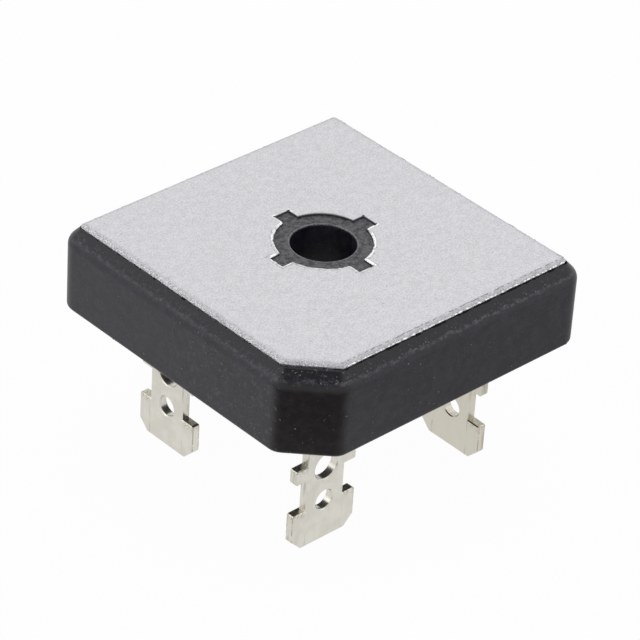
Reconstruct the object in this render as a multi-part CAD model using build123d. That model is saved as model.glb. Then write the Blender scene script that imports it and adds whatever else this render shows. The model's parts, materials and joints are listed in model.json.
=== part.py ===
from build123d import *
import os

os.makedirs("parts", exist_ok=True)

# Bridge rectifier module standing on its four push-on tabs, heat-sink plate up, in millimetres.
# The origin is on the screw hole's axis, in the plane of the tabs' tips, and +Z points up.
# From the cut corner, +X runs along the right side of the body and +Y along its left side.

# Moulded body
body_side = 28.6
body_thickness = 7.05          # from the underside to the flat rim round the plate
body_corner_radius = 1.7
cut_corner_leg = 3.5           # this corner marks the positive tab
cut_corner_radius = 1.4
underside_radius = 0.3
rim_land = 0.12                # flat strip of plastic beside the plate
rim_bevel_width = 0.98
rim_bevel_height = 1.05
rim_bevel_radius = 1.0         # from the bevel round to the upright side
ejector_mark_radius = 1.25
ejector_mark_depth = 0.1
ejector_mark_offset = 10.6

# Screw hole and the sleeve that lines it through the plate
screw_hole_radius = 2.6
screw_hole_chamfer = 0.3
sleeve_lip = 0.06              # bevel round the mouth of the screw hole
sleeve_wall = 1.25
sleeve_recess = 0.2            # below the plate's face
key_width = 1.5
key_depth = 1.0                # each key's reach past the sleeve
key_corner_radius = 0.2

# Heat-sink plate
plate_thickness = 1.5
plate_proud = 0.35             # above the rim
plate_edge_roll = 0.35
plate_hole_bevel = 0.1
plate_corner_radius = 0.4
plate_cut_corner_leg = 3.2
plate_cut_corner_radius = 0.4

# Tabs, measured upwards from the tip
tab_exposed = 11.65            # from the tip to the body's underside
tab_thickness = 0.8
tab_head_width = 6.3
tab_head_height = 3.4
tab_lead_chamfer = 0.95
tab_shoulder_radius = 0.2
tab_neck_width = 3.8
tab_edge_bevel = 0.08
lug_width = 6.1
lug_height = 1.33
lug_base = 6.22
wire_hole_radius = 0.85
wire_hole_height = 3.65
relief_hole_radius = 1.13
relief_hole_height = 6.8
tab_bend_radius = 0.4
tab_foot_reach = 2.9           # from the tab's mid-plane to the foot's end

# Tab positions: three stand at the corners of a rectangle, the positive one is turned and closer in
tab_pitch_x = 17.7
tab_pitch_y = 13.8
positive_step_x = 16.45        # from the second alternating-current tab
positive_step_y = 16.2         # from the first alternating-current tab

# Circuit under the plate
bond_thickness = 0.15
bond_inset = 0.5
insulator_thickness = 0.6
insulator_hole_radius = 4.7
insulator_border = 0.9
pad_thickness = 0.3
pad_setback = 0.4              # from the insulator's hole
pad_margin = 0.3               # round each die
pad_toe = 0.1                  # past a clip's landing
solder_thickness = 0.1
die_side = 4.4
die_thickness = 0.28
clip_thickness = 0.3
clip_width = 2.6
clip_contact = 1.6             # from the die's centre to the clip's free end
clip_run = 0.2                 # past the die's edge before the clip rises
clip_rise_length = 0.9
clip_landing = 1.4
part_gap = 0.3                 # between a clip's landing and a tab's foot

# Heights from the tips upwards
underside = tab_exposed
rim_level = underside + body_thickness
plate_top = rim_level + plate_proud
plate_base = plate_top - plate_thickness
sleeve_top = plate_top - sleeve_recess
bond_base = plate_base - bond_thickness
insulator_base = bond_base - insulator_thickness
pad_base = insulator_base - pad_thickness
joint_base = pad_base - solder_thickness
die_base = joint_base - die_thickness
clip_top = die_base - solder_thickness
tab_join = underside + tab_thickness

# Plan layout
plate_side = body_side - 2 * (rim_land + rim_bevel_width)
sleeve_radius = screw_hole_radius + sleeve_wall
tab_x = tab_pitch_x / 2
tab_y = tab_pitch_y / 2
positive_x = tab_x - positive_step_x
positive_y = tab_y - positive_step_y
pad_inner = insulator_hole_radius + pad_setback
die_row = pad_inner + pad_margin + die_side / 2
pad_outer = die_row + die_side / 2 + pad_margin
landing_start = die_side / 2 + clip_run + clip_rise_length
clip_reach = landing_start + clip_landing
side_die_y = tab_y - tab_neck_width / 2 - part_gap - clip_reach
end_die_x = tab_x - tab_foot_reach - part_gap - clip_reach
insulator_side = 2 * (pad_outer + insulator_border)

# Each tab: position, and the turn that points its foot at the middle of the body
tab_places = {
    "positive": (positive_x, positive_y, 0),
    "negative": (tab_x, tab_y, 90),
    "ac_1": (-tab_x, tab_y, -90),
    "ac_2": (tab_x, -tab_y, 90),
}

# Each die: position, and the turn that points its clip at the next pad
die_places = {
    1: (-die_row, side_die_y, 0),
    2: (end_die_x, -die_row, -90),
    3: (end_die_x, die_row, -90),
    4: (die_row, side_die_y, 0),
}


def edges_at(solid, height):
    return solid.edges().filter_by_position(Axis.Z, height - 0.001, height + 0.001)


def block_between(x_range, y_range, z_range):
    size = [high - low for low, high in (x_range, y_range, z_range)]
    corner = Pos(x_range[0], y_range[0], z_range[0])
    return corner * Box(*size, align=(Align.MIN, Align.MIN, Align.MIN))


def cut_corner_square(side, leg, corner_radius, cut_radius):
    # plan outline: a square whose corner at -X -Y is cut off, with every corner rounded
    half = side / 2
    points = [(leg - half, -half), (half, -half), (half, half), (-half, half), (-half, leg - half)]
    outline = Sketch() + make_face(Polyline(*points, close=True))
    corners = outline.vertices().sort_by(lambda vertex: vertex.X + vertex.Y)
    outline = fillet(corners[:2], cut_radius)
    sharp = outline.vertices().filter_by(
        lambda vertex: min(half - abs(vertex.X), half - abs(vertex.Y)) < 0.001
        and abs(abs(vertex.X) - abs(vertex.Y)) < 0.001
    )
    return fillet(sharp, corner_radius)


def sleeve_outline():
    # ring with four keys, on the X and Y axes
    key_span = 2 * (sleeve_radius + key_depth)
    outline = Circle(sleeve_radius)
    outline += RectangleRounded(key_span, key_width, key_corner_radius)
    outline += RectangleRounded(key_width, key_span, key_corner_radius)
    return outline


def make_base_plate():
    outline = cut_corner_square(
        plate_side, plate_cut_corner_leg, plate_corner_radius, plate_cut_corner_radius
    )
    plate = Pos(0, 0, plate_base) * extrude(outline, plate_thickness)
    plate = fillet(edges_at(plate, plate_top), plate_edge_roll)
    hole = Pos(0, 0, plate_base) * extrude(sleeve_outline(), plate_thickness)
    plate -= hole
    hole_rim = edges_at(plate, plate_top).filter_by(
        lambda edge: edge.center().X ** 2 + edge.center().Y ** 2 < (plate_side / 3) ** 2
    )
    return chamfer(hole_rim, plate_hole_bevel)


def make_tab():
    # flat blade, with its width along X and its foot bent towards +Y
    head = Pos(0, tab_head_height / 2) * Rectangle(tab_head_width, tab_head_height)
    head = chamfer(head.vertices().group_by(Axis.Y)[0], tab_lead_chamfer)
    head = fillet(head.vertices().group_by(Axis.Y)[-1], tab_shoulder_radius)
    lug = Pos(0, lug_base + lug_height / 2) * RectangleRounded(
        lug_width, lug_height, tab_shoulder_radius
    )
    neck = Pos(0, (tab_join + tab_lead_chamfer) / 2) * Rectangle(
        tab_neck_width, tab_join - tab_lead_chamfer
    )
    outline = head + lug + neck
    outline -= Pos(0, wire_hole_height) * Circle(wire_hole_radius)
    outline -= Pos(0, relief_hole_height) * Circle(relief_hole_radius)
    blade = extrude(Plane.XZ * outline, tab_thickness / 2, both=True)
    face_edges = blade.edges().filter_by(Axis.Y, reverse=True)
    face_edges = face_edges.filter_by_position(Axis.Z, -1, tab_join - 0.01)
    blade = chamfer(face_edges, tab_edge_bevel)
    return blade + make_tab_foot()


def make_tab_foot():
    # side view, from the top of the blade round the bend and along the pad
    half = tab_thickness / 2
    points = [
        (-half, tab_join),
        (-half, joint_base),
        (tab_foot_reach, joint_base),
        (tab_foot_reach, joint_base - tab_thickness),
        (half, joint_base - tab_thickness),
        (half, tab_join),
    ]
    profile = Sketch() + make_face(Polyline(*points, close=True))
    outer_bend = profile.vertices().sort_by_distance((-half, joint_base))[0]
    profile = fillet(outer_bend, tab_bend_radius + tab_thickness)
    inner_bend = profile.vertices().sort_by_distance((half, joint_base - tab_thickness))[0]
    profile = fillet(inner_bend, tab_bend_radius)
    return extrude(Plane.YZ * profile, tab_neck_width / 2, both=True)


def make_tab_solder():
    half_width = tab_neck_width / 2
    flat_start = tab_thickness / 2 + tab_bend_radius
    return block_between(
        (-half_width, half_width), (flat_start, tab_foot_reach), (joint_base, pad_base)
    )


def make_clip():
    # side view: flat on the die, a rise past its edge, and a landing on the next pad
    flat_end = die_side / 2 + clip_run
    points = [
        (-clip_contact, clip_top),
        (flat_end, clip_top),
        (landing_start, joint_base),
        (clip_reach, joint_base),
        (clip_reach, joint_base - clip_thickness),
        (landing_start, joint_base - clip_thickness),
        (flat_end, clip_top - clip_thickness),
        (-clip_contact, clip_top - clip_thickness),
    ]
    profile = Sketch() + make_face(Polyline(*points, close=True))
    return extrude(Plane.YZ * profile, clip_width / 2, both=True)


def make_die_parts():
    # one die with its clip and its three solder layers, centred on the die
    half_die = die_side / 2
    half_clip = clip_width / 2
    die_span = (-half_die, half_die)
    clip_span = (-half_clip, half_clip)
    return {
        "diode": block_between(die_span, die_span, (die_base, joint_base)),
        "die_solder": block_between(die_span, die_span, (joint_base, pad_base)),
        "jumper": make_clip(),
        "clip_solder": block_between(
            clip_span, (-clip_contact, clip_contact), (clip_top, die_base)
        ),
        "landing_solder": block_between(
            clip_span, (landing_start, clip_reach), (joint_base, pad_base)
        ),
    }


def make_pads():
    # copper lands between the insulator's hole and its border, split beside each die
    layer = (pad_base, insulator_base)
    low = (-pad_outer, -pad_inner)
    high = (pad_inner, pad_outer)
    to_side_die = (-pad_outer, side_die_y + die_side / 2 + pad_margin)
    to_end_die = (-pad_outer, end_die_x + die_side / 2 + pad_margin)
    from_side_clip = (side_die_y + landing_start - pad_toe, pad_outer)
    from_end_clip = (end_die_x + landing_start - pad_toe, pad_outer)
    return {
        "positive": block_between(low, to_side_die, layer) + block_between(to_end_die, low, layer),
        "ac_1": block_between(low, from_side_clip, layer) + block_between(to_end_die, high, layer),
        "ac_2": block_between(high, to_side_die, layer) + block_between(from_end_clip, low, layer),
        "negative": block_between(high, from_side_clip, layer)
        + block_between(from_end_clip, high, layer),
    }


def make_wafer(side, hole_radius, base, thickness):
    sheet = Rectangle(side, side) - Circle(hole_radius)
    return Pos(0, 0, base) * extrude(sheet, thickness)


def make_moulded_body(embedded):
    outline = cut_corner_square(body_side, cut_corner_leg, body_corner_radius, cut_corner_radius)
    body = Pos(0, 0, underside) * extrude(outline, body_thickness)
    rim_face = body.faces().sort_by(Axis.Z)[-1]
    body = chamfer(
        edges_at(body, rim_level), rim_bevel_width, rim_bevel_height, reference=rim_face
    )
    body = fillet(edges_at(body, rim_level - rim_bevel_height), rim_bevel_radius)
    body = fillet(edges_at(body, underside), underside_radius)

    # sleeve and keys that fill the plate's hole up to just below its face
    body += Pos(0, 0, plate_base) * extrude(sleeve_outline(), sleeve_top - plate_base)
    body -= Pos(0, 0, underside) * Cylinder(
        screw_hole_radius, plate_top - underside, align=(Align.CENTER, Align.CENTER, Align.MIN)
    )
    bore_rim = body.edges().filter_by(GeomType.CIRCLE).filter_by(
        lambda edge: abs(edge.radius - screw_hole_radius) < 0.001
    )
    body = chamfer(bore_rim.sort_by(Axis.Z)[-1], sleeve_lip)
    lower_rim = body.edges().filter_by(GeomType.CIRCLE).filter_by(
        lambda edge: abs(edge.radius - screw_hole_radius) < 0.001
    )
    body = chamfer(lower_rim.sort_by(Axis.Z)[0], screw_hole_chamfer)

    # shallow round marks of the mould's ejector pins, between the tabs
    for x, y in ((1, 0), (0, 1), (-1, 0), (0, -1)):
        place = Pos(x * ejector_mark_offset, y * ejector_mark_offset, underside)
        body -= place * Cylinder(
            ejector_mark_radius, ejector_mark_depth, align=(Align.CENTER, Align.CENTER, Align.MIN)
        )

    for solid in embedded:
        body -= solid
    return body


nodes = {"base_plate": make_base_plate()}
nodes["insulator_bond"] = make_wafer(
    insulator_side - 2 * bond_inset, insulator_hole_radius + bond_inset, bond_base, bond_thickness
)
nodes["insulator"] = make_wafer(
    insulator_side, insulator_hole_radius, insulator_base, insulator_thickness
)

for name, pad in make_pads().items():
    nodes["pad_" + name] = pad

for number, (x, y, turn) in die_places.items():
    for name, piece in make_die_parts().items():
        nodes[f"{name}_{number}"] = Pos(x, y, 0) * Rot(0, 0, turn) * piece

for name, (x, y, turn) in tab_places.items():
    place = Pos(x, y, 0) * Rot(0, 0, turn)
    nodes["terminal_" + name] = place * make_tab()
    nodes["tab_solder_" + name] = place * make_tab_solder()

nodes["moulded_body"] = make_moulded_body(list(nodes.values()))

for name, solid in nodes.items():
    export_step(solid, f"parts/{name}.step")
    print(name, round(solid.volume, 3))
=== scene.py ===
import json
import math

import bmesh
import bpy
from mathutils import Matrix, Vector


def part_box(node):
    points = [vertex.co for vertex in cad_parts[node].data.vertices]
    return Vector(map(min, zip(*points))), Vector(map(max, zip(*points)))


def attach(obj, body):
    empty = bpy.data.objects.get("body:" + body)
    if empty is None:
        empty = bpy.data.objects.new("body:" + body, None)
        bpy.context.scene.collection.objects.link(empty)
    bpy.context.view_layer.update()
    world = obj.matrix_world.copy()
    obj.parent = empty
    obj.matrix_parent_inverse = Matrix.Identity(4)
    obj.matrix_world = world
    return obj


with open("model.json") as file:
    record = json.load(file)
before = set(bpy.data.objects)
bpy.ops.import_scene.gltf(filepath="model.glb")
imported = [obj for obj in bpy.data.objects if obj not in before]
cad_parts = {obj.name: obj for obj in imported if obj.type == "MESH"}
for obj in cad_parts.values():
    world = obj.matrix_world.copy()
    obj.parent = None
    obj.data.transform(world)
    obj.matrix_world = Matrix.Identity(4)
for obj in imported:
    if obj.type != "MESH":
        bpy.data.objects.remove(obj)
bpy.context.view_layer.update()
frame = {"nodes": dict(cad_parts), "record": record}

nodes = frame["nodes"]
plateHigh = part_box("base_plate")[1]
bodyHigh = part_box("moulded_body")[1]
plateHalf, plateTop, sleeveTop = plateHigh[0], plateHigh[2], bodyHigh[2]  # in metres
print("frame:", len(nodes), "nodes")


class Wire:
    # one value of a shader or geometry tree, so that a pattern is written as sums and products

    def __init__(self, socket):
        self.socket = socket

    def node(self, kind, settings=None, inputs=None, output=0):
        # adds a node to the same tree, with values or wires for its inputs
        tree = self.socket.id_data
        made = tree.nodes.new(kind)
        for name, value in (settings or {}).items():
            setattr(made, name, value)
        for name, value in (inputs or {}).items():
            if isinstance(value, Wire):
                tree.links.new(value.socket, made.inputs[name])
            else:
                made.inputs[name].default_value = value
        return Wire(made.outputs[output])

    def math(self, operation, first, second=0.0):
        return self.node("ShaderNodeMath", {"operation": operation}, {0: first, 1: second})

    def __add__(self, other):
        return self.math("ADD", self, other)

    def __radd__(self, other):
        return self.math("ADD", other, self)

    def __sub__(self, other):
        return self.math("SUBTRACT", self, other)

    def __rsub__(self, other):
        return self.math("SUBTRACT", other, self)

    def __mul__(self, other):
        return self.math("MULTIPLY", self, other)

    def __rmul__(self, other):
        return self.math("MULTIPLY", other, self)

    def __rtruediv__(self, other):
        return self.math("DIVIDE", other, self)

    def __pow__(self, other):
        return self.math("POWER", self, other)

    def __abs__(self):
        return self.math("ABSOLUTE", self)

    def least(self, other):
        return self.math("MINIMUM", self, other)

    def most(self, other):
        return self.math("MAXIMUM", self, other)

    def above(self, other):
        return self.math("GREATER_THAN", self, other)

    def below(self, other):
        return self.math("LESS_THAN", self, other)

    def rise(self, low, high):
        # 0 below low, 1 above high, smooth between them; falls instead where low is the larger
        span = {"Value": self, "From Min": low, "From Max": high}
        return self.node("ShaderNodeMapRange", {"interpolation_type": "SMOOTHSTEP"}, span)

    def between(self, low, high):
        # low where this value is 0, high where it is 1
        return low + self * (high - low)

    def band(self, centre, width, soft):
        # 1 on a line of this width, 0 away from it
        away = abs(self - centre)
        return away.rise(width / 2 + soft, width / 2)

    def over(self, ground, colour):
        # lays a colour on a ground colour where this value is 1
        inputs = {"Factor": self, 6: ground, 7: colour}
        return self.node("ShaderNodeMix", {"data_type": "RGBA"}, inputs, 2)

    def noise(self, grain, detail=2.0, stretch=(1, 1, 1), shift=(0, 0, 0)):
        # cloudy pattern from 0 to 1 with patches of this many millimetres, on a place in millimetres
        inputs = {0: self, 1: stretch, 2: shift}
        place = self.node("ShaderNodeVectorMath", {"operation": "MULTIPLY_ADD"}, inputs)
        inputs = {"Vector": place, "Scale": 1 / grain, "Detail": detail, "Roughness": 0.6}
        return self.node("ShaderNodeTexNoise", {"noise_dimensions": "3D"}, inputs)

    def flatNoise(self, grain, detail, shift=(0, 0, 0)):
        # the same, but unchanged from top to bottom
        return self.noise(grain, detail, (1, 1, 0), shift)

    def grains(self, spacing):
        # distance to the nearest of many scattered points, in shares of their spacing
        inputs = {"Vector": self, "Scale": 1 / spacing, "Randomness": 1.0}
        return self.node("ShaderNodeTexVoronoi", {"feature": "F1"}, inputs)

    def parts(self):
        split = self.node("ShaderNodeSeparateXYZ", None, {0: self})
        outputs = split.socket.node.outputs
        return Wire(outputs[0]), Wire(outputs[1]), Wire(outputs[2])


class Finish:
    # a material with one Principled shader and the object's own coordinates in millimetres

    def __init__(self, name, constants):
        self.material = bpy.data.materials.new(name)
        self.material.use_nodes = True
        self.tree = self.material.node_tree
        self.shader = next(n for n in self.tree.nodes if n.type == "BSDF_PRINCIPLED")
        for label, value in constants.items():
            self.shader.inputs[label].default_value = value
        coordinates = Wire(self.tree.nodes.new("ShaderNodeTexCoord").outputs["Object"])
        inputs = {0: coordinates, "Scale": 1000.0}
        self.place = coordinates.node("ShaderNodeVectorMath", {"operation": "SCALE"}, inputs)

    def set(self, label, value):
        self.tree.links.new(value.socket, self.shader.inputs[label])

    def relief(self, height, depth):
        # height from 0 to 1 stands this many millimetres proud
        inputs = {"Height": height, "Distance": depth / 1000, "Strength": 1.0}
        self.set("Normal", height.node("ShaderNodeBump", None, inputs))


def axisDistance(x, y):
    # distance from the screw hole's axis
    return (x * x + y * y) ** 0.5


metal = {
    "face": (0.648, 0.645, 0.667, 1),
    "shade": (0.518, 0.517, 0.538, 1),
    # dark pits, scratch and grains, and the painted dark reflection beside the edge
    "pitAndReflection": (0.24, 0.24, 0.255, 1),
    "grain": (0.85, 0.85, 0.86, 1),
    # the burrs' bright fresh metal, and also the colour of the painted highlight round the hole
    "freshAndHighlight": (0.93, 0.93, 0.94, 1),
    "freshShade": (0.5, 0.5, 0.51, 1),
    "wallShade": (0.10, 0.10, 0.105, 1),
    # the plate's form, in millimetres
    "cornerRadius": 0.4,
    "cutLeg": 3.2,
    "holeRadius": 3.85,
    "keyReach": 4.85,
    "keyHalfWidth": 0.75,
    # where each area starts and where it is full, in millimetres
    "nearSide": (-12.0, -12.6),  # in y
    "border": (0.65, 0.15),  # from the outline inwards, as the next one
    "brightBorder": (0.28, 0.1),
    "holeBorder": (0.4, 0.15),  # from the hole outwards, as the next one
    "holeWallShade": (0.07, 0.03),
    "scratchSide": (3.5, 0.5),  # in x + y: the scratch is on the near side of the hole
    "rightHand": (2.6, 3.6),  # in x - y
    "rightHandEnds": (4.4, 4.0),  # in x + y, both ways
    "leftHand": (3.2, 4.0),  # in y - x
    # lines: distance from the outline or the hole, width and soft edge, in millimetres
    "edgeReflection": (0.3, 0.03, 0.06),
    "scratch": (0.24, 0.03, 0.07),
    "holeHighlightLine": (0.11, 0.07, 0.04),
    "wander": 0.12,  # how far the painted dark reflection beside the edge strays; the scratch strays half as far again
    # how strong each mark is; of a pair, the second is beside the near edge
    "pitStrength": 0.45,
    "edgeReflectionStrength": (0.09, 0.9),
    "scratchStrength": 0.7,
    "darkGrainStrength": (0.62, 0.31),
    "holeGrainShare": 0.35,  # round the hole, of the strength beside the outline
    "brightGrainStrength": (0.9, 0.3),
    "leftHandShare": 0.8,
    # the surface: roughness of its low and high grain, what the outline adds, and depth in millimetres
    "roughness": (0.44, 0.56),
    "borderRoughness": 0.28,
    "freshRoughness": (0.3, 0.45),
    "relief": 0.006,
}


def edgeDistance(x, y):
    # millimetres inwards from the plate's outline
    half = plateHalf * 1000
    toSides = half - abs(x).most(abs(y))
    toCut = (x + y + 2 * half - metal["cutLeg"]) * math.sqrt(0.5)
    return toSides.least(toCut)


def holeDistance(x, y):
    # millimetres outwards from the plate's hole and its four notches
    ring = axisDistance(x, y) - metal["holeRadius"]
    alongX = (abs(x) - metal["keyReach"]).most(abs(y) - metal["keyHalfWidth"])
    alongY = (abs(y) - metal["keyReach"]).most(abs(x) - metal["keyHalfWidth"])
    return ring.least(alongX).least(alongY)


def fleck(place):
    # fine flakes, for the grains beside the plate's edges
    return place.noise(0.1, 2, (1, 1, 1), (5, 5, 5))


def darkMarksAndReflection(place, outer, inner, nearSide):
    # how dark pits, the painted dark reflection beside the edge, the scratch round the hole and dark grains
    # make it
    x, y = place.parts()[:2]
    pits = place.grains(0.7).rise(0.14, 0.06) * place.noise(2.0, 1).rise(0.42, 0.56)
    wander = place.flatNoise(0.4, 3).between(-metal["wander"], metal["wander"])
    edgeReflectionPatches = place.flatNoise(0.5, 3, (7, 2, 0)).rise(0.44, 0.52) * nearSide.between(*metal["edgeReflectionStrength"])
    # painted dark reflection along the plate's rounded edge, strong on the near -Y side
    edgeReflection = (outer + wander).band(*metal["edgeReflection"]) * edgeReflectionPatches
    scratched = place.flatNoise(0.45, 3, (3, 9, 0)).rise(0.46, 0.56) * (x + y).rise(*metal["scratchSide"])
    scratch = (inner + 1.5 * wander).band(*metal["scratch"]) * scratched
    borders = outer.rise(*metal["border"]).most(inner.rise(*metal["holeBorder"]) * metal["holeGrainShare"])
    grains = fleck(place).rise(0.54, 0.66) * borders * nearSide.between(*metal["darkGrainStrength"])
    return (pits * metal["pitStrength"]).most(scratch * metal["scratchStrength"]).most(edgeReflection).most(grains)


def holeEdgeHighlight(place, inner):
    # 1 on the painted highlight along the hole's edge, on both sides of the hole as the camera sees it
    x, y = place.parts()[:2]
    right = (x - y).rise(*metal["rightHand"]) * abs(x + y).rise(*metal["rightHandEnds"])
    left = (y - x).rise(*metal["leftHand"]) * place.flatNoise(0.8, 2, (1, 6, 0)).rise(0.47, 0.54)
    breaks = place.flatNoise(0.5, 3, (7, 2, 0)).rise(0.34, 0.48)
    return inner.band(*metal["holeHighlightLine"]) * right.most(left * metal["leftHandShare"]) * breaks


def makePlateFinish():
    finish = Finish("heatSinkPlateMetal", {"Metallic": 1.0})
    place = finish.place
    x, y = place.parts()[:2]
    outer = edgeDistance(x, y)
    inner = holeDistance(x, y)
    nearSide = y.rise(*metal["nearSide"])
    fine = place.noise(0.14, 3)
    tone = (fine * 0.75 + place.noise(0.6, 4) * 0.25).rise(0.40, 0.60)
    ground = tone.over(metal["shade"], metal["face"])
    bright = fleck(place).rise(0.47, 0.4) * outer.rise(*metal["brightBorder"])
    bright = bright * nearSide.between(*metal["brightGrainStrength"])
    ground = bright.over(ground, metal["grain"])
    ground = darkMarksAndReflection(place, outer, inner, nearSide).over(ground, metal["pitAndReflection"])
    # painted highlight: the hole's edge is laid over in the bright fresh-metal colour
    ground = holeEdgeHighlight(place, inner).over(ground, metal["freshAndHighlight"])
    # painted shade: the hole's inner face and the edge beside it are painted near black
    finish.set("Base Color", inner.rise(*metal["holeWallShade"]).over(ground, metal["wallShade"]))
    onBorder = outer.rise(*metal["border"]) * metal["borderRoughness"]
    finish.set("Roughness", fine.between(*metal["roughness"]) + onBorder)
    finish.relief(fine * 0.6 + place.noise(0.08, 2) * 0.4, metal["relief"])
    return finish.material


def makeFreshMetal():
    finish = Finish("freshMetalEdge", {"Metallic": 1.0})
    tone = finish.place.noise(0.15, 2).rise(0.35, 0.6)
    finish.set("Base Color", tone.over(metal["freshShade"], metal["freshAndHighlight"]))
    finish.set("Roughness", tone.between(*metal["freshRoughness"]))
    return finish.material


epoxy = {
    "black": (0.0045, 0.0039, 0.0080, 1),
    "dusty": (0.0235, 0.0217, 0.0338, 1),
    "cut": (0.0060, 0.0034, 0.0040, 1),
    "cutDusty": (0.0130, 0.0088, 0.0100, 1),
    # pale flash colour: painted light, as pale as the lit bevel beside it
    "flashAndPaintedLight": (0.088, 0.084, 0.092, 1),
    # the pale of dust, the fold and smudges, and of the painted highlight along the bevel's edge
    "paleMarkAndHighlight": (0.085, 0.083, 0.096, 1),
    "groundDark": (0.012, 0.0115, 0.016, 1),
    "groundLight": (0.112, 0.109, 0.120, 1),
    # colour of the painted highlight on the bore's lip
    "lip": (0.27, 0.27, 0.28, 1),
    "speck": (0.19, 0.185, 0.195, 1),
    "fillerDark": (0.045, 0.044, 0.05, 1),
    "fillerLight": (0.15, 0.148, 0.158, 1),
    # the body's form, in millimetres
    "edgeHeight": 17.95,  # where the rim's bevel turns down into the sides
    "boreRadius": 2.6,
    # where each area starts and where it is full, in millimetres
    "cutFace": (-24.5, -25.0),  # in x + y, as the next two
    "cutBevel": (-23.2, -23.6),
    "besideCut": (-24.6, -24.0),
    "leftFace": (-14.0, -14.2),  # in x
    "towardsCut": (6.0, -6.0),  # in y, as the next two
    "nearRim": (-12.9, -13.3),
    "farFlash": (-13.0, -12.4),
    "belowEdge": (0.1, -0.3),  # heights over the edge, as the next three
    "aboveEdge": (-0.05, 0.1),
    "fold": (-0.75, -0.4),
    "bevel": (0.75, 0.2),
    "sleeveFace": (-0.15, -0.1),  # heights over the sleeve's top, as the next one
    "lipFace": (-0.25, -0.15),
    "sleeve": (5.6, 5.4),  # distances from the hole's axis, as the next two
    "pastSleeve": (8.0, 9.0),
    "pastLine": (10.0, 11.0),
    # lines: height over the edge or distance from the bore, width and soft edge, in millimetres
    "edgeHighlightLine": (0.02, 0.1, 0.11),
    "lipLine": (0.06, 0.08, 0.03),
    "wander": 0.2,  # how far the painted highlight line strays
    # how pale each mark is; of a pair, the second is at the near rim, and on the sleeve for the specks
    "dustStrength": (0.38, 0.12),
    "edgeHighlightStrength": (0.6, 0.9),
    "bevelSpeckStrength": (0.25, 0.6),
    "speckStrength": (0.25, 0.85),
    "foldStrength": 0.12,
    "smudgeStrength": 0.55,
    "lipHighlightStrength": 0.85,
    # the surface: roughness of its low and high grain, and depth in millimetres
    "roughness": (0.36, 0.46),
    "relief": 0.006,
}


def bodyAreas(place):
    # 1 on each area of the body, 0 elsewhere
    x, y, z = place.parts()
    ring = axisDistance(x, y)
    overEdge = z - epoxy["edgeHeight"]
    overSleeve = z - sleeveTop * 1000
    outside = ring.rise(*epoxy["pastSleeve"])
    rim = overEdge.rise(*epoxy["aboveEdge"]) * outside
    fold = overEdge.rise(*epoxy["fold"]) * (1 - rim) * outside
    wander = place.noise(1.1, 3).between(-epoxy["wander"], epoxy["wander"])
    return {
        "cutFace": (x + y).rise(*epoxy["cutFace"]) * overEdge.rise(*epoxy["belowEdge"]),
        "cutBevel": (x + y).rise(*epoxy["cutBevel"]) * rim,
        "leftFace": x.rise(*epoxy["leftFace"]) * y.rise(*epoxy["towardsCut"]),
        "nearRim": y.rise(*epoxy["nearRim"]),
        "rim": rim,
        "bevel": overEdge.rise(*epoxy["bevel"]) * rim,
        "fold": (x + y).rise(*epoxy["besideCut"]) * fold,
        "edgeHighlightLine": (overEdge + wander).band(*epoxy["edgeHighlightLine"]) * ring.rise(*epoxy["pastLine"]),
        "sleeve": overSleeve.rise(*epoxy["sleeveFace"]) * ring.rise(*epoxy["sleeve"]),
        "lip": (ring - epoxy["boreRadius"]).band(*epoxy["lipLine"]) * overSleeve.rise(*epoxy["lipFace"]),
    }


def epoxyGround(place, areas, cloud, fine):
    # the black of the faces, the cut corner, the sleeve's rough top and the rim
    faces = (cloud * 0.6 + fine * 0.4).rise(0.38, 0.66).over(epoxy["black"], epoxy["dusty"])
    cut = cloud.rise(0.42, 0.66).over(epoxy["cut"], epoxy["cutDusty"])
    gritty = (place.noise(0.34, 3) * 0.65 + fine * 0.35).rise(0.4, 0.6)
    ground = areas["cutFace"].over(faces, cut)
    ground = areas["sleeve"].over(ground, gritty.over(epoxy["groundDark"], epoxy["groundLight"]))
    return areas["rim"].over(ground, epoxy["black"])


def epoxyMarksAndHighlights(place, areas, ground, fine):
    # dust on the bevel, the fold under it, smudges on the left face, a painted highlight along the bevel's
    # lower edge and a painted highlight on the hole's lip
    dust = areas["bevel"] * place.noise(0.32, 4).rise(0.5, 0.66)
    dust = dust * areas["nearRim"].between(*epoxy["dustStrength"])
    fold = areas["fold"] * epoxy["foldStrength"]
    smudges = place.noise(0.34, 3, (1, 1, 1), (8, 3, 1)).rise(0.56, 0.68)
    smudges = smudges * areas["leftFace"] * epoxy["smudgeStrength"]
    highlightPatches = (place.noise(0.5, 3) * 0.6 + place.noise(0.15, 2) * 0.4).rise(0.44, 0.58)
    # painted highlight along the lower edge of the rim's bevel, stronger at the near rim
    edge = areas["edgeHighlightLine"] * highlightPatches * areas["nearRim"].between(*epoxy["edgeHighlightStrength"])
    for mark in (dust, fold, smudges, edge):
        ground = mark.over(ground, epoxy["paleMarkAndHighlight"])
    # painted highlight on the bore's lip
    lip = areas["lip"] * fine.rise(0.3, 0.6) * epoxy["lipHighlightStrength"]
    return lip.over(ground, epoxy["lip"])


def epoxySpecks(place, areas):
    # 1 on pale specks: sparse on the faces, thick on the sleeve and along the bevel
    specks = place.grains(0.42).rise(0.2, 0.08) * place.noise(1.2, 3).rise(0.46, 0.62)
    specks = specks * areas["sleeve"].between(*epoxy["speckStrength"])
    onBevel = place.grains(0.26).rise(0.45, 0.2) * place.noise(0.5, 3).rise(0.43, 0.56)
    onBevel = onBevel * place.noise(0.2, 1, (1, 1, 1), (2, 2, 8)).rise(0.38, 0.62)
    onBevel = onBevel * areas["bevel"] * areas["nearRim"].between(*epoxy["bevelSpeckStrength"])
    scuffs = place.noise(0.2, 2, (1, 1, 1), (4, 1, 2)).rise(0.63, 0.70) * areas["cutBevel"]
    return specks.most(onBevel).most(scuffs)


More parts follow.
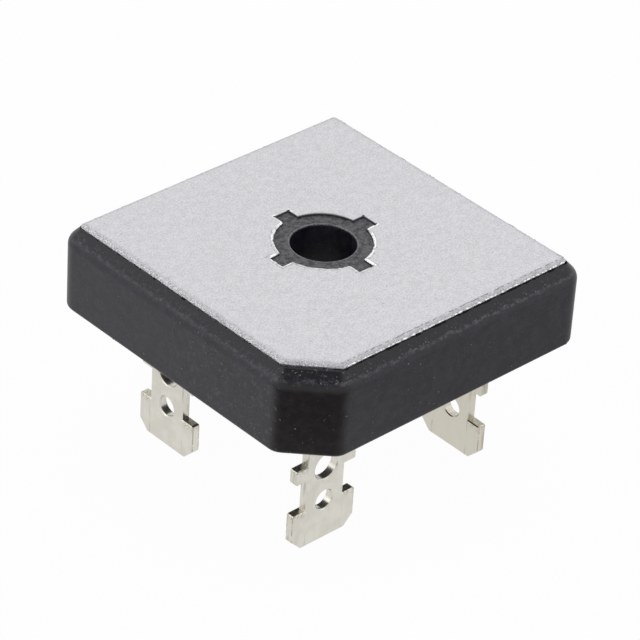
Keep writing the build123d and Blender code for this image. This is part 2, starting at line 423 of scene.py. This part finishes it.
def makeEpoxyFinish():
    finish = Finish("blackEpoxy", {"Specular IOR Level": 0.4})
    place = finish.place
    areas = bodyAreas(place)
    cloud = place.noise(0.7, 4)
    fine = place.noise(0.14, 3)
    ground = epoxyGround(place, areas, cloud, fine)
    ground = epoxyMarksAndHighlights(place, areas, ground, fine)
    finish.set("Base Color", epoxySpecks(place, areas).over(ground, epoxy["speck"]))
    finish.set("Roughness", cloud.between(*epoxy["roughness"]))
    finish.relief(place.noise(0.1, 3), epoxy["relief"])
    return finish.material


def makeFlashFinish():
    finish = Finish("tornFlash", {"Roughness": 0.95, "Specular IOR Level": 0.25})
    y = finish.place.parts()[1]
    # painted light: on all but the near -Y side the flash is as pale as the lit bevel; elsewhere it has the
    # cut face's near-black
    pale = y.rise(*epoxy["farFlash"]) * finish.place.noise(0.35, 2).rise(0.4, 0.5)
    finish.set("Base Color", pale.over(epoxy["cut"], epoxy["flashAndPaintedLight"]))
    return finish.material


def makeFillerFinish():
    finish = Finish("paleFiller", {"Roughness": 0.45})
    tone = finish.place.noise(0.2, 1).rise(0.3, 0.7)
    finish.set("Base Color", tone.over(epoxy["fillerDark"], epoxy["fillerLight"]))
    return finish.material


tab = {
    "tin": (0.69, 0.67, 0.612, 1),
    "dull": (0.635, 0.615, 0.552, 1),
    "yellowed": (0.60, 0.575, 0.50, 1),
    # dark brown of the streaks, and of the staining with painted dark reflection on the shoulders
    "stainedAndReflection": (0.30, 0.26, 0.18, 1),
    # the tabs' form, in millimetres
    "ledges": (3.4, 7.55),  # heights of the two shoulders
    "neckHalf": 1.9,
    "headHalf": 3.15,
    "middle": (7.6, 6.9),  # x of the turned tab and y of the others, without their signs
    "plane": (9.3, 8.85),  # y of the turned tab and x of the others, without their signs
    # where each area starts and where it is full, in millimetres
    "yellowSide": (4.0, 8.0),  # in x
    "shoulder": (0.02, 0.12),  # past the neck's side
    "headEdge": (-0.2, -0.1),  # past the head's side, as the next one
    "shearedEdge": (-0.12, -0.07),
    "shoulderStainAndReflection": (-0.75, -0.05),  # over the shoulder's height, as the next one
    "shoulderStainAndReflectionTop": (0.05, 0.01),
    # lines: distance, width and soft edge, in millimetres
    "neckLine": (0.0, 0.1, 0.05),  # from the neck's side
    "shearedLine": (0.3, 0.06, 0.04),  # from the tab's plane
    "ledgeLine": (-0.04, 0.08, 0.03),  # from the shoulder's height
    # how dark each mark is
    "streakStrength": (0.06, 0.46),  # on the face and at the sides
    "shearedStrength": 0.7,
    "shoulderStainAndReflectionStrength": 0.8,
    "ledgeStrength": 0.55,
    # the surface: roughness of its low and high grain, and depth in millimetres
    "roughness": (0.24, 0.36),
    "relief": 0.003,
}


def tabStainsAndReflection(place):
    # 1 on dark marks: streaks at the sides, the sheared edge of the head, and brownish staining with painted
    #                  dark reflection on and under the shoulders
    x, y, z = place.parts()
    turned = x.below(0.0) * y.below(0.0)
    across = turned * abs(abs(x) - tab["middle"][0]) + (1 - turned) * abs(abs(y) - tab["middle"][1])
    deep = turned * abs(abs(y) - tab["plane"][0]) + (1 - turned) * abs(abs(x) - tab["plane"][1])
    pastNeck = across - tab["neckHalf"]
    pastHead = across - tab["headHalf"]
    side = pastNeck.band(*tab["neckLine"]).most(pastHead.rise(*tab["headEdge"]))
    streak = place.noise(0.3, 3, (1, 1, 0.12)).rise(0.5, 0.66) * side.between(*tab["streakStrength"])
    sheared = pastHead.rise(*tab["shearedEdge"]) * deep.band(*tab["shearedLine"])
    sheared = sheared * place.noise(0.5, 3).rise(0.42, 0.54)
    streak = streak.most(sheared * tab["shearedStrength"])
    shoulder = pastNeck.rise(*tab["shoulder"])
    blot = place.noise(0.16, 3)
    for height in tab["ledges"]:
        above = z - height
        # brownish staining with painted dark reflection on each shoulder's top and just under it
        shoulderStainAndReflection = above.rise(*tab["shoulderStainAndReflection"]) * above.rise(*tab["shoulderStainAndReflectionTop"]) * blot.rise(0.5, 0.62)
        streak = streak.most(shoulder * shoulderStainAndReflection * tab["shoulderStainAndReflectionStrength"])
        ledge = above.band(*tab["ledgeLine"]) * blot.rise(0.35, 0.55)
        streak = streak.most(shoulder * ledge * tab["ledgeStrength"])
    return streak


def makeTabFinish():
    finish = Finish("tinPlate", {"Metallic": 1.0})
    place = finish.place
    x = place.parts()[0]
    ground = place.noise(1.2, 2).rise(0.35, 0.65).over(tab["dull"], tab["tin"])
    ground = x.rise(*tab["yellowSide"]).over(ground, tab["yellowed"])
    finish.set("Base Color", tabStainsAndReflection(place).over(ground, tab["stainedAndReflection"]))
    finish.set("Roughness", place.noise(0.3, 2).between(*tab["roughness"]))
    finish.relief(place.noise(0.2, 2), tab["relief"])
    return finish.material


def makePlainFinish(name, colour, metallic, roughness):
    # a faintly cloudy colour, 15 % darker in its shades
    finish = Finish(name, {"Metallic": metallic})
    cloud = finish.place.noise(0.4, 2)
    darker = tuple(0.85 * channel for channel in colour[:3]) + (1,)
    finish.set("Base Color", cloud.rise(0.3, 0.7).over(darker, colour))
    finish.set("Roughness", cloud.between(roughness - 0.05, roughness + 0.05))
    return finish.material


finishes = {  # by the record's material slots; the last three are for the pieces added here
    "heat_sink_plate": makePlateFinish(),
    "moulded_body": makeEpoxyFinish(),
    "tab_plating": makeTabFinish(),
    "copper": makePlainFinish("barCopper", (0.72, 0.40, 0.27, 1), 1.0, 0.35),
    "solder": makePlainFinish("solderGrey", (0.45, 0.45, 0.46, 1), 1.0, 0.4),
    "silicon": makePlainFinish("siliconGrey", (0.16, 0.16, 0.18, 1), 0.0, 0.3),
    "ceramic": makePlainFinish("whiteAlumina", (0.86, 0.85, 0.82, 1), 0.0, 0.6),
    "bond": makePlainFinish("greyBond", (0.55, 0.56, 0.58, 1), 0.0, 0.7),
    "freshMetal": makeFreshMetal(),
    "flashAndPaintedLight": makeFlashFinish(),
    "filler": makeFillerFinish(),
}


def dressNodes():
    for row in frame["record"]["subparts"]:
        mesh = nodes[row["node"]].data
        mesh.materials.clear()
        mesh.materials.append(finishes[row["material_slot"]])


dressNodes()
print("finishes:", len(finishes))


class Growth:
    # a geometry tree with named inputs; its first input and its output are the geometry

    def __init__(self, name, inputs):
        self.tree = bpy.data.node_groups.new(name, "GeometryNodeTree")
        self.tree.interface.new_socket("Geometry", in_out="INPUT", socket_type="NodeSocketGeometry")
        for label, kind in inputs.items():
            self.tree.interface.new_socket(label, in_out="INPUT", socket_type="NodeSocket" + kind)
        self.tree.interface.new_socket("Geometry", in_out="OUTPUT", socket_type="NodeSocketGeometry")
        self.start = self.tree.nodes.new("NodeGroupInput")
        self.end = self.tree.nodes.new("NodeGroupOutput")

    def input(self, label):
        return Wire(self.start.outputs[label])

    def finish(self, geometry):
        whole = geometry.node("GeometryNodeRealizeInstances", None, {0: geometry})
        inputs = {"Geometry": whole, "Material": self.input("Material")}
        painted = geometry.node("GeometryNodeSetMaterial", None, inputs)
        self.tree.links.new(painted.socket, self.end.inputs["Geometry"])

    def grow(self, name, mesh, slot, values):
        # runs the tree on a mesh and keeps the result as a plain piece of the body
        piece = bpy.data.objects.new(name, mesh)
        bpy.context.scene.collection.objects.link(piece)
        modifier = piece.modifiers.new("growth", "NODES")
        modifier.node_group = self.tree
        for item in self.tree.interface.items_tree:
            if item.in_out == "INPUT" and item.name in values:
                modifier[item.identifier] = values[item.name]
        grown = piece.evaluated_get(bpy.context.evaluated_depsgraph_get())
        result = bpy.data.meshes.new_from_object(grown)
        piece.modifiers.clear()
        piece.data = result
        result.name = name
        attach(piece, "root")
        print(name + ":", len(result.polygons), "faces")


def makeBeadGrowth():
    # an uneven bead along a path, as a burr or a line of flash is
    floats = ("Spacing", "Thin", "Thick", "Wander", "Grain", "Gaps", "Seed")
    inputs = {label: "Float" for label in floats}
    inputs.update({"Sides": "Int", "Material": "Material"})
    growth = Growth("unevenBead", inputs)
    path = growth.input("Geometry")
    curve = path.node("GeometryNodeMeshToCurve", None, {0: path})
    length = {"Curve": curve, "Length": growth.input("Spacing")}
    points = curve.node("GeometryNodeResampleCurve", {"mode": "LENGTH"}, length)
    position = curve.node("GeometryNodeInputPosition")
    waves = {"Vector": position, "W": growth.input("Seed"), "Scale": 1 / growth.input("Grain"), "Detail": 2.0}
    size = position.node("ShaderNodeTexNoise", {"noise_dimensions": "4D"}, waves)
    aside = Wire(size.socket.node.outputs["Color"])
    middle = {0: aside, 1: (0.5, 0.5, 0.5)}
    centred = aside.node("ShaderNodeVectorMath", {"operation": "SUBTRACT"}, middle)
    scaled = {0: centred, "Scale": 2 * growth.input("Wander")}
    offset = centred.node("ShaderNodeVectorMath", {"operation": "SCALE"}, scaled)
    placed = points.node("GeometryNodeSetPosition", None, {"Geometry": points, "Offset": offset})
    gaps = growth.input("Gaps")  # the bead is thin where the noise is below this
    radius = size.rise(gaps, gaps + 0.2).between(growth.input("Thin"), growth.input("Thick"))
    ring = {"Resolution": growth.input("Sides"), "Radius": 1.0}
    circle = curve.node("GeometryNodeCurvePrimitiveCircle", None, ring)
    inputs = {"Curve": placed, "Profile Curve": circle, "Scale": radius}
    growth.finish(curve.node("GeometryNodeCurveToMesh", None, inputs))
    return growth


def makeSpeckGrowth():
    # small flat grains scattered over the outer sides of a body
    floats = ("Density", "Smallest", "Largest", "Edge", "Cut")
    inputs = {label: "Float" for label in floats}
    inputs.update({"Seed": "Int", "Material": "Material"})
    growth = Growth("fillerSpecks", inputs)
    skin = growth.input("Geometry")
    seed = growth.input("Seed")
    x, y = skin.node("GeometryNodeInputPosition").parts()[:2]
    outside = abs(x).most(abs(y)).above(growth.input("Edge"))
    onCut = (x + y).below(growth.input("Cut"))
    inputs = {"Mesh": skin, "Selection": outside.most(onCut), "Seed": seed}
    inputs["Density"] = growth.input("Density")
    points = skin.node("GeometryNodeDistributePointsOnFaces", None, inputs)
    turn = Wire(points.socket.node.outputs["Rotation"])
    grain = skin.node("GeometryNodeMeshIcoSphere", None, {"Radius": 1.0, "Subdivisions": 1})
    chance = skin.node("FunctionNodeRandomValue", {"data_type": "FLOAT"}, {"Seed": seed}, 1)
    # most grains are small, and each is half as wide as long and a quarter as thick
    size = (chance ** 3).between(growth.input("Smallest"), growth.input("Largest"))
    shape = size.node("ShaderNodeCombineXYZ", None, {"X": size, "Y": size * 0.5, "Z": size * 0.25})
    spin = {"Max": 2 * math.pi, "Seed": seed}
    angle = skin.node("FunctionNodeRandomValue", {"data_type": "FLOAT"}, spin, 1)
    about = {"Axis": (0, 0, 1), "Angle": angle}
    twist = angle.node("FunctionNodeAxisAngleToRotation", None, about)
    turned = {"Rotation": turn, "Rotate By": twist}
    turn = turn.node("FunctionNodeRotateRotation", {"rotation_space": "LOCAL"}, turned)
    inputs = {"Points": points, "Instance": grain, "Rotation": turn, "Scale": shape}
    growth.finish(skin.node("GeometryNodeInstanceOnPoints", None, inputs))
    return growth


def mergedCopy(node):
    # the node's surface, with corners joined that lie within a micrometre of each other
    mesh = node.data.copy()
    shell = bmesh.new()
    shell.from_mesh(mesh)
    bmesh.ops.remove_doubles(shell, verts=shell.verts, dist=0.000001)
    shell.to_mesh(mesh)
    shell.free()
    return mesh


def pathMesh(name, corners, closed):
    # path through these points, in metres
    mesh = bpy.data.meshes.new(name)
    count = len(corners)
    steps = count if closed else count - 1
    mesh.from_pydata(corners, [(i, (i + 1) % count) for i in range(steps)], [])
    return mesh


def plateLoop(inset, drop, steps=4):
    # the plate's outline, this far inwards and under its face in millimetres,
    # from the cut corner's end on the -Y side round to its other end
    half = plateHalf - inset / 1000
    leg = metal["cutLeg"] / 1000 - (2 - math.sqrt(2)) * inset / 1000
    radius = (metal["cornerRadius"] - inset) / 1000
    z = plateTop - drop / 1000
    corners = [(leg - half, -half, z)]
    for turn, (across, along) in enumerate([(1, -1), (1, 1), (-1, 1)]):
        for step in range(steps + 1):
            angle = (turn - 1 + step / steps) * math.pi / 2
            x = across * (half - radius) + radius * math.cos(angle)
            y = along * (half - radius) + radius * math.sin(angle)
            corners.append((x, y, z))
    return corners + [(-half, leg - half, z)]


def holeQuarter(outset, steps=14):
    # one notch, on +X, and the arc from it to the next
    radius = metal["holeRadius"] + outset
    reach = metal["keyReach"] + outset
    width = metal["keyHalfWidth"] + outset
    start = math.asin(width / radius)
    points = [(reach, -width), (reach, width)]
    for step in range(steps + 1):
        angle = start + (math.pi / 2 - 2 * start) * step / steps
        points.append((radius * math.cos(angle), radius * math.sin(angle)))
    return points


def holePath(outset, drop):
    # round the hole, this far outside it and under the plate's face in millimetres,
    # anticlockwise from the end of the notch on +Y to the notch on +X
    points = holeQuarter(outset)
    z = plateTop - drop / 1000
    corners = []
    for quarter in range(4):
        turn = quarter * math.pi / 2
        for x, y in points:
            across = x * math.cos(turn) - y * math.sin(turn)
            along = x * math.sin(turn) + y * math.cos(turn)
            corners.append((across / 1000, along / 1000, z))
    return corners[len(points) + 1:] + corners[:1]


beads = {  # the lengths under values are in metres
    "plateBurr": {
        "path": plateLoop(0.02, 0.26),
        "closed": True,
        "slot": "heat_sink_plate",
        "finish": "heat_sink_plate",
        "values": {"Spacing": 0.00011, "Thin": 0.00004, "Thick": 0.00009, "Wander": 0.00003,
                   "Grain": 0.0004, "Gaps": 0.5, "Seed": 3.0, "Sides": 6},
    },
    "nearBurr": {
        "path": plateLoop(0.02, 0.25)[:2],  # the straight stretch on the -Y side
        "closed": False,
        "slot": "heat_sink_plate",
        "finish": "freshMetal",
        "values": {"Spacing": 0.00009, "Thin": 0.00002, "Thick": 0.0001, "Wander": 0.00004,
                   "Grain": 0.0004, "Gaps": 0.42, "Seed": 2.0, "Sides": 6},
    },
    "holeBurr": {
        "path": holePath(0.05, 0.09),
        "closed": False,
        "slot": "heat_sink_plate",
        "finish": "freshMetal",
        "values": {"Spacing": 0.0001, "Thin": 0.00002, "Thick": 0.00008, "Wander": 0.00002,
                   "Grain": 0.0007, "Gaps": 0.33, "Seed": 8.0, "Sides": 6},
    },
    "rimFlash": {
        "path": plateLoop(-0.08, 0.37),
        "closed": True,
        "slot": "moulded_body",
        "finish": "flashAndPaintedLight",
        "values": {"Spacing": 0.00011, "Thin": 0.00003, "Thick": 0.0001, "Wander": 0.00003,
                   "Grain": 0.00045, "Gaps": 0.42, "Seed": 5.0, "Sides": 6},
    },
}


def growBeads():
    growth = makeBeadGrowth()
    for name, bead in beads.items():
        values = dict(bead["values"], Material=finishes[bead["finish"]])
        growth.grow(name, pathMesh(name, bead["path"], bead["closed"]), bead["slot"], values)


specks = {  # grains a square metre, then lengths in metres
    "Density": 0.5e6,
    "Smallest": 0.00004,
    "Largest": 0.00015,
    "Edge": 0.01335,  # grains lie where x or y is past this
    "Cut": -0.0236,  # and where x + y is below this
    "Seed": 4,
    "Material": finishes["filler"],
}

growBeads()
makeSpeckGrowth().grow("fillerSpecks", mergedCopy(nodes["moulded_body"]), "moulded_body", specks)

studio = {
    "floorSize": 6.0,
    "floorGlow": 0.97,
    "floorColour": (0.9, 0.9, 0.9, 1),
    "worldLight": 0.45,
    "lamps": {  # direction the light comes from: azimuth, elevation in degrees, then strength
        "leftLamp": (-112, 30, 0.38),
        "backLamp": (-140, 34, 0.1),
        "rightLamp": (60, 42, 0.2),
        "topLamp": (120, 75, 0.5),
    },
    "softness": 50,  # degrees across each lamp, as seen from the object
    "lampDistance": 0.5,  # in metres, as the lengths of the cards are
    "cards": {  # cards in the air: azimuth, elevation, distance, width, height
        "frontCard": (-45, 61, 0.42, 0.36, 0.26),
    },
    "tableCards": {  # cards on the floor: azimuth, nearest and farthest edge, their half widths, and glow
        "cutFaceCard": (-44, 0.031, 0.075, 0.020, 0.070, 0.0),
        "rightFaceCard": (30, 0.022, 0.080, 0.022, 0.050, 0.55),
    },
    "cardColour": (0.01, 0.01, 0.01, 1),
    "cardLift": 0.0001,  # metres from the floor to a card that lies on it
    "white": (1, 1, 1, 1),
}


def seenDirectly(tree):
    # 1 for rays that show the surroundings themselves, 0 for rays that carry their light
    rays = tree.nodes.new("ShaderNodeLightPath")
    camera = Wire(rays.outputs["Is Camera Ray"])
    glossy = Wire(rays.outputs["Is Glossy Ray"])
    through = Wire(rays.outputs["Is Transmission Ray"])
    return camera.most(glossy).most(through)


def directionFrom(azimuth, elevation):
    # unit vector from the object towards a lamp, a card or the camera; azimuth 0 is on the -Y side
    a, e = math.radians(azimuth), math.radians(elevation)
    return Vector((math.sin(a) * math.cos(e), -math.cos(a) * math.cos(e), math.sin(e)))


def makeSheet(name, corners, material):
    # one flat face
    mesh = bpy.data.meshes.new(name)
    mesh.from_pydata(corners, [], [tuple(range(len(corners)))])
    mesh.materials.append(material)
    sheet = bpy.data.objects.new(name, mesh)
    bpy.context.scene.collection.objects.link(sheet)
    return sheet


def makeFloorFinish():
    # white with a trace of shadow to the camera and to reflections, pale grey to the light
    # that it sends back, and clear from below
    material = bpy.data.materials.new("paleFloor")
    material.use_nodes = True
    tree = material.node_tree
    tree.nodes.clear()
    seen = seenDirectly(tree)
    lit = seen.node("ShaderNodeBsdfDiffuse", None, {"Color": studio["floorColour"]})
    glow = seen.node("ShaderNodeEmission", None, {"Color": studio["white"], "Strength": 1.0})
    inputs = {0: seen * studio["floorGlow"], 1: lit, 2: glow}
    mixed = seen.node("ShaderNodeMixShader", None, inputs)
    hidden = seen.node("ShaderNodeBsdfTransparent", None, {"Color": studio["white"]})
    fromBelow = Wire(tree.nodes.new("ShaderNodeNewGeometry").outputs["Backfacing"])
    mixed = mixed.node("ShaderNodeMixShader", None, {0: fromBelow, 1: mixed, 2: hidden})
    output = tree.nodes.new("ShaderNodeOutputMaterial")
    tree.links.new(mixed.socket, output.inputs["Surface"])
    return material


def makeFloor():
    half = studio["floorSize"] / 2
    corners = [(-half, -half, 0), (half, -half, 0), (half, half, 0), (-half, half, 0)]
    floor = makeSheet("floor", corners, makeFloorFinish())


def makeCard(name, corners, glow=0.0):
    # a dark or grey card that only reflections see
    material = bpy.data.materials.new(name)
    material.use_nodes = True
    shader = next(n for n in material.node_tree.nodes if n.type == "BSDF_PRINCIPLED")
    shader.inputs["Base Color"].default_value = studio["cardColour"]
    shader.inputs["Emission Color"].default_value = studio["white"]
    shader.inputs["Emission Strength"].default_value = glow
    card = makeSheet(name, corners, material)
    for ray in ("camera", "diffuse", "transmission", "volume_scatter", "shadow"):
        setattr(card, "visible_" + ray, False)


def makeCards():
    upright = Vector((0, 0, 1))
    for name, (azimuth, elevation, distance, width, height) in studio["cards"].items():
        away = directionFrom(azimuth, elevation)
        across = away.cross(upright).normalized() * width / 2
        upwards = across.cross(away).normalized() * height / 2
        middle = away * distance
        corners = [middle - across - upwards, middle + across - upwards]
        makeCard(name, corners + [middle + across + upwards, middle - across + upwards])
    for name, (azimuth, near, far, nearHalf, farHalf, glow) in studio["tableCards"].items():
        away = directionFrom(azimuth, 0)
        across = away.cross(upright)
        corners = [away * near - across * nearHalf, away * far - across * farHalf]
        corners += [away * far + across * farHalf, away * near + across * nearHalf]
        makeCard(name, [corner + upright * studio["cardLift"] for corner in corners], glow)


def makeWorld():
    world = bpy.data.worlds.new("studio")
    world.use_nodes = True
    bpy.context.scene.world = world
    tree = world.node_tree
    background = next(n for n in tree.nodes if n.type == "BACKGROUND")
    background.inputs["Color"].default_value = studio["white"]
    strength = seenDirectly(tree).between(studio["worldLight"], 1)
    tree.links.new(strength.socket, background.inputs["Strength"])


def makeLamps():
    for name, (azimuth, elevation, strength) in studio["lamps"].items():
        light = bpy.data.lights.new(name, "SUN")
        light.energy = strength
        light.angle = math.radians(studio["softness"])
        lamp = bpy.data.objects.new(name, light)
        away = directionFrom(azimuth, elevation)
        lamp.location = away * studio["lampDistance"]
        lamp.rotation_euler = away.to_track_quat("Z", "Y").to_euler()
        bpy.context.scene.collection.objects.link(lamp)


shot = {
    "azimuth": -44.347,
    "elevation": 34.203,
    "roll": 3.727,
    "distance": 0.268623,
    "lens": 204.91,
    "sensor": 36,
    "nearest": 0.01,
    "target": (-0.007455, -0.007801, 0.01905),
}


def makeCamera():
    camera = bpy.data.cameras.new("camera")
    camera.lens = shot["lens"]
    camera.sensor_width = shot["sensor"]
    camera.clip_start = shot["nearest"]
    holder = bpy.data.objects.new("camera", camera)
    back = directionFrom(shot["azimuth"], shot["elevation"])
    turned = back.to_track_quat("Z", "Y").to_matrix() @ Matrix.Rotation(math.radians(shot["roll"]), 3, "Z")
    spot = Vector(shot["target"]) + back * shot["distance"]
    holder.matrix_world = Matrix.Translation(spot) @ turned.to_4x4()
    bpy.context.scene.collection.objects.link(holder)
    bpy.context.scene.camera = holder


makeFloor()
makeCards()
makeWorld()
makeLamps()
makeCamera()
bpy.context.scene.view_settings.view_transform = "Standard"
print("studio: floor, cards, world, lamps and camera")
